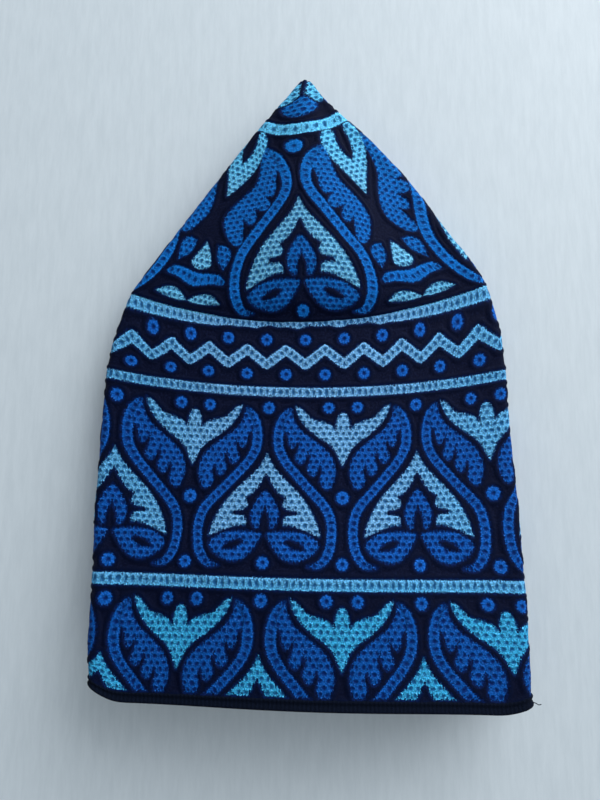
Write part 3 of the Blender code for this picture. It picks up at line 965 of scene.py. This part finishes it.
def build_cloth(materials):
    """The cap's embroidered face, for the band and the crown."""
    band_alongs = np.linspace(EMBROIDERY_FOOT, BAND_DEPTH + BAND_PAST_SEAM, BAND_ROWS)
    row_before, last_row = (CROWN_RADIUS - short for short in CROWN_LAST_ROWS)
    crown_alongs = np.append(np.linspace(0.0, row_before, CROWN_ROWS), last_row)
    for label, rows, alongs, zone in (
        ("band", BAND, band_alongs, BAND_ZONE),
        ("crown", CROWN, crown_alongs, CROWN_ZONE),
    ):
        places, runs, left, right = folded_cloth(rows, alongs, 0.0, zone)
        if label == "band":
            stitches, cloth = band_stitches(runs, alongs)
        else:
            stitches, cloth = crown_stitches(runs, (left, right), alongs)
        normal = normals_of(places)
        from_seam = BAND_DEPTH - alongs if label == "band" else alongs
        from_seam = np.broadcast_to(from_seam[:, None], runs.shape).ravel()
        lift = relief(stitches, cloth, from_seam).reshape(runs.shape)
        places = places + normal * lift[..., None]
        middle = sum(zone)
        front = zone.front + zone.outer_fold
        gusset = front + zone.upper + zone.tuck + zone.lower + zone.inner_fold
        ranges = {
            "back_left": (0, middle - gusset),
            "gusset_left": (middle - gusset, middle - front),
            "front": (middle - front, middle + front),
            "gusset_right": (middle + front, middle + gusset),
            "back_right": (middle + gusset, 2 * middle),
        }
        for part, columns in ranges.items():
            piece = add_piece(
                f"{label}_{part}", places, columns, stitches, cloth, materials[label]
            )
            if part == "front":
                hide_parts("side_band" if label == "band" else "crown")


def build_reverse(material):
    """The band's inner face, which shows at the open hem."""
    alongs = np.linspace(EMBROIDERY_FOOT, BAND_DEPTH - REVERSE_SHORT, REVERSE_ROWS)
    runs = folded_cloth(BAND, alongs, 0.0, REVERSE_ZONE)[1]
    places = folded_cloth(BAND, alongs, REVERSE_INSET, REVERSE_ZONE)[0]
    stitches, cloth = band_stitches(runs, alongs)
    stitches.depth -= REVERSE_DRAWN
    columns = (0, 2 * sum(REVERSE_ZONE))
    add_piece("band_reverse", places, columns, stitches, cloth, material, flip=True)


def build_loose_thread(material):
    """The short end of thread at the hem's right corner."""
    line = smooth_line(THREAD_END, closed=False)
    turns = np.linspace(0, 2 * math.pi, THREAD_SIDES + 1)
    across, up = THREAD_RADIUS * np.cos(turns), THREAD_RADIUS * np.sin(turns)
    places = np.array([[(x, y + dy, THREAD_HEIGHT + dz) for dy, dz in zip(across, up)] for x, y in line])
    count = len(line) * len(turns)
    plain, cloth = Stitches(count), np.zeros((count, 2))
    add_piece("thread_end", places, (0, THREAD_SIDES), plain, cloth, material)


def build_binding(material):
    """The plain strip folded over the hem."""
    line = smooth_line(BINDING, closed=False, steps=BINDING_STEPS)
    rows = [folded_cloth(BAND, np.array([along]), inset, BAND_ZONE) for inset, along in line]
    places = np.concatenate([row[0] for row in rows])
    runs = rows[0][1]
    length = np.concatenate([[0], np.hypot(*np.diff(line, axis=0).T).cumsum()])
    cloth = np.stack(np.broadcast_arrays(runs, length[:, None]), -1).reshape(-1, 2)
    plain = Stitches(len(cloth))
    columns = (0, 2 * sum(BAND_ZONE))
    piece = add_piece("hem_strip", places, columns, plain, cloth, material, flip=True)
    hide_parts("hem_binding")


BINDING_NOISE = Noise(2.2, 3.0, 0.7)
BINDING_PALE = Step(0.40, 0.75)
BINDING_STITCH, BINDING_SWAY, BINDING_TONE = 5.2, 3.0, 0.08
BINDING_STITCH_RISE, BINDING_GRAIN_RISE = 0.04, 0.3
BINDING_ROUGHNESS, BINDING_SPECULAR = 0.85, 0.08


def plain_binding(name):
    """Close dark stitches over a plain strip."""
    shader = Shader(name)
    add, times = shader.add, shader.times
    cloth = shader.attribute("cloth").outputs["Vector"]
    grain = shader.noise(cloth, BINDING_NOISE)
    along_hem = times(shader.parts(cloth)[0], BINDING_STITCH)
    stitch = shader.math("SINE", add(along_hem, times(grain, BINDING_SWAY)))
    pale = shader.ramp(add(times(stitch, BINDING_TONE), grain), BINDING_PALE)
    colour = shader.mix(pale, BINDING_THREAD, BINDING_LIGHT)
    height = add(times(stitch, BINDING_STITCH_RISE), times(grain, BINDING_GRAIN_RISE))
    return shader.finish(colour, height, BINDING_ROUGHNESS, BINDING_SPECULAR)


# The table, the lights and the camera, in metres. The table's noise is stretched into long streaks.
TABLE_REACH = 3.0
TABLE_HEIGHT = -0.0008
TABLE_DARK, TABLE_PALE = (0.585, 0.655, 0.705, 1.0), (0.645, 0.715, 0.765, 1.0)
TABLE_ROUGHNESS = 0.6
STREAKS, STREAK_NOISE, STREAK_PALE = (420.0, 60.0, 1.0), Noise(1.0, 4.0, 0.7), Step(0.25, 0.75)
WINDOW_PLACE = (0.62, 0.74, 0.52)
WINDOW_SIZE, WINDOW_WATTS, WINDOW_COLOUR = 1.1, 14.8, (0.98, 0.99, 1.0)
SKY_COLOUR = (0.88, 0.95, 1.0, 1.0)
SKY_BRIGHT_WAY, SKY_DIM_FROM = (0.80, 0.30, 0.52), -0.5
SKY_DIM, SKY_BRIGHT = 0.19, 0.72
CAMERA_PLACE = (-0.0022, -0.0386, 0.210)
CAMERA_TILT = 8.0
SENSOR_MM, LENS_MM, CLIP_START = 36.0, 27.0, 0.01


def build_stage():
    """The pale table that the cap lies on."""
    square = ((-1, -1), (1, -1), (1, 1), (-1, 1))
    corners = [(x * TABLE_REACH, y * TABLE_REACH, TABLE_HEIGHT) for x, y in square]
    floor_mesh = bpy.data.meshes.new("floor")
    floor_mesh.from_pydata(corners, [], [(0, 1, 2, 3)])
    floor = place_in_scene("floor", floor_mesh)
    shader = Shader("pale_table")
    place = shader.node("ShaderNodeTexCoord").outputs["Object"]
    stretched = shader.node("ShaderNodeMapping", place)
    stretched.inputs["Scale"].default_value = STREAKS
    streaks = shader.noise(stretched.outputs[0], STREAK_NOISE)
    colour = shader.mix(shader.ramp(streaks, STREAK_PALE), TABLE_DARK, TABLE_PALE)
    shader.put(shader.surface.inputs["Base Color"], colour)
    shader.surface.inputs["Roughness"].default_value = TABLE_ROUGHNESS
    floor_mesh.materials.append(shader.material)


def build_window():
    """One soft light behind the cap on its right, aimed at the frame's origin."""
    light = bpy.data.lights.new("window", "AREA")
    light.size = WINDOW_SIZE
    light.energy = WINDOW_WATTS
    light.color = WINDOW_COLOUR
    lamp = place_in_scene("window", light)
    lamp.location = WINDOW_PLACE
    aim = -lamp.location.copy()
    lamp.rotation_euler = aim.to_track_quat("-Z", "Y").to_euler()


def build_sky():
    """Light from all round, brightest from the window's side."""
    world = bpy.data.worlds.new("studio")
    world.use_nodes = True
    tree = world.node_tree
    background = tree.nodes["Background"]
    background.inputs["Color"].default_value = SKY_COLOUR
    place = tree.nodes.new("ShaderNodeTexCoord")
    towards = tree.nodes.new("ShaderNodeVectorMath")
    towards.operation = "DOT_PRODUCT"
    towards.inputs[1].default_value = SKY_BRIGHT_WAY
    strength = tree.nodes.new("ShaderNodeMapRange")
    strength.inputs["From Min"].default_value = SKY_DIM_FROM
    strength.inputs["To Min"].default_value = SKY_DIM
    strength.inputs["To Max"].default_value = SKY_BRIGHT
    tree.links.new(place.outputs["Generated"], towards.inputs[0])
    tree.links.new(towards.outputs["Value"], strength.inputs["Value"])
    tree.links.new(strength.outputs[0], background.inputs["Strength"])
    bpy.context.scene.world = world
    bpy.context.scene.view_settings.view_transform = "Standard"


def build_camera():
    """The camera stands over the cap and tilts a little towards the crown's point."""
    camera = bpy.data.cameras.new("camera")
    camera.sensor_fit = "VERTICAL"
    camera.sensor_height = SENSOR_MM
    camera.lens = LENS_MM
    camera.clip_start = CLIP_START
    stand = place_in_scene("camera", camera)
    stand.location = CAMERA_PLACE
    stand.rotation_euler = (math.radians(CAMERA_TILT), 0.0, 0.0)
    bpy.context.scene.camera = stand


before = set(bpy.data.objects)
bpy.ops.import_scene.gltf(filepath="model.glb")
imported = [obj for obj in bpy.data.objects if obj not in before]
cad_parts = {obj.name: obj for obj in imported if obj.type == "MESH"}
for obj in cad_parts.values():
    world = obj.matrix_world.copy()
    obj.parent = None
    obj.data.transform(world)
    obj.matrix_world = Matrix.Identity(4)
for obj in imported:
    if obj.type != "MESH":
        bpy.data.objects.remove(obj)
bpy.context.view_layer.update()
build_camera()
build_stage()
build_window()
build_sky()
embroideries = {
    "band": embroidery("band_eyelets", BAND_THREADS),
    "crown": embroidery("crown_eyelets_lit", CROWN_THREADS_LIT),
}
build_cloth(embroideries)
build_reverse(embroideries["band"])
binding = plain_binding("stitched_binding")
build_binding(binding)
build_loose_thread(binding)
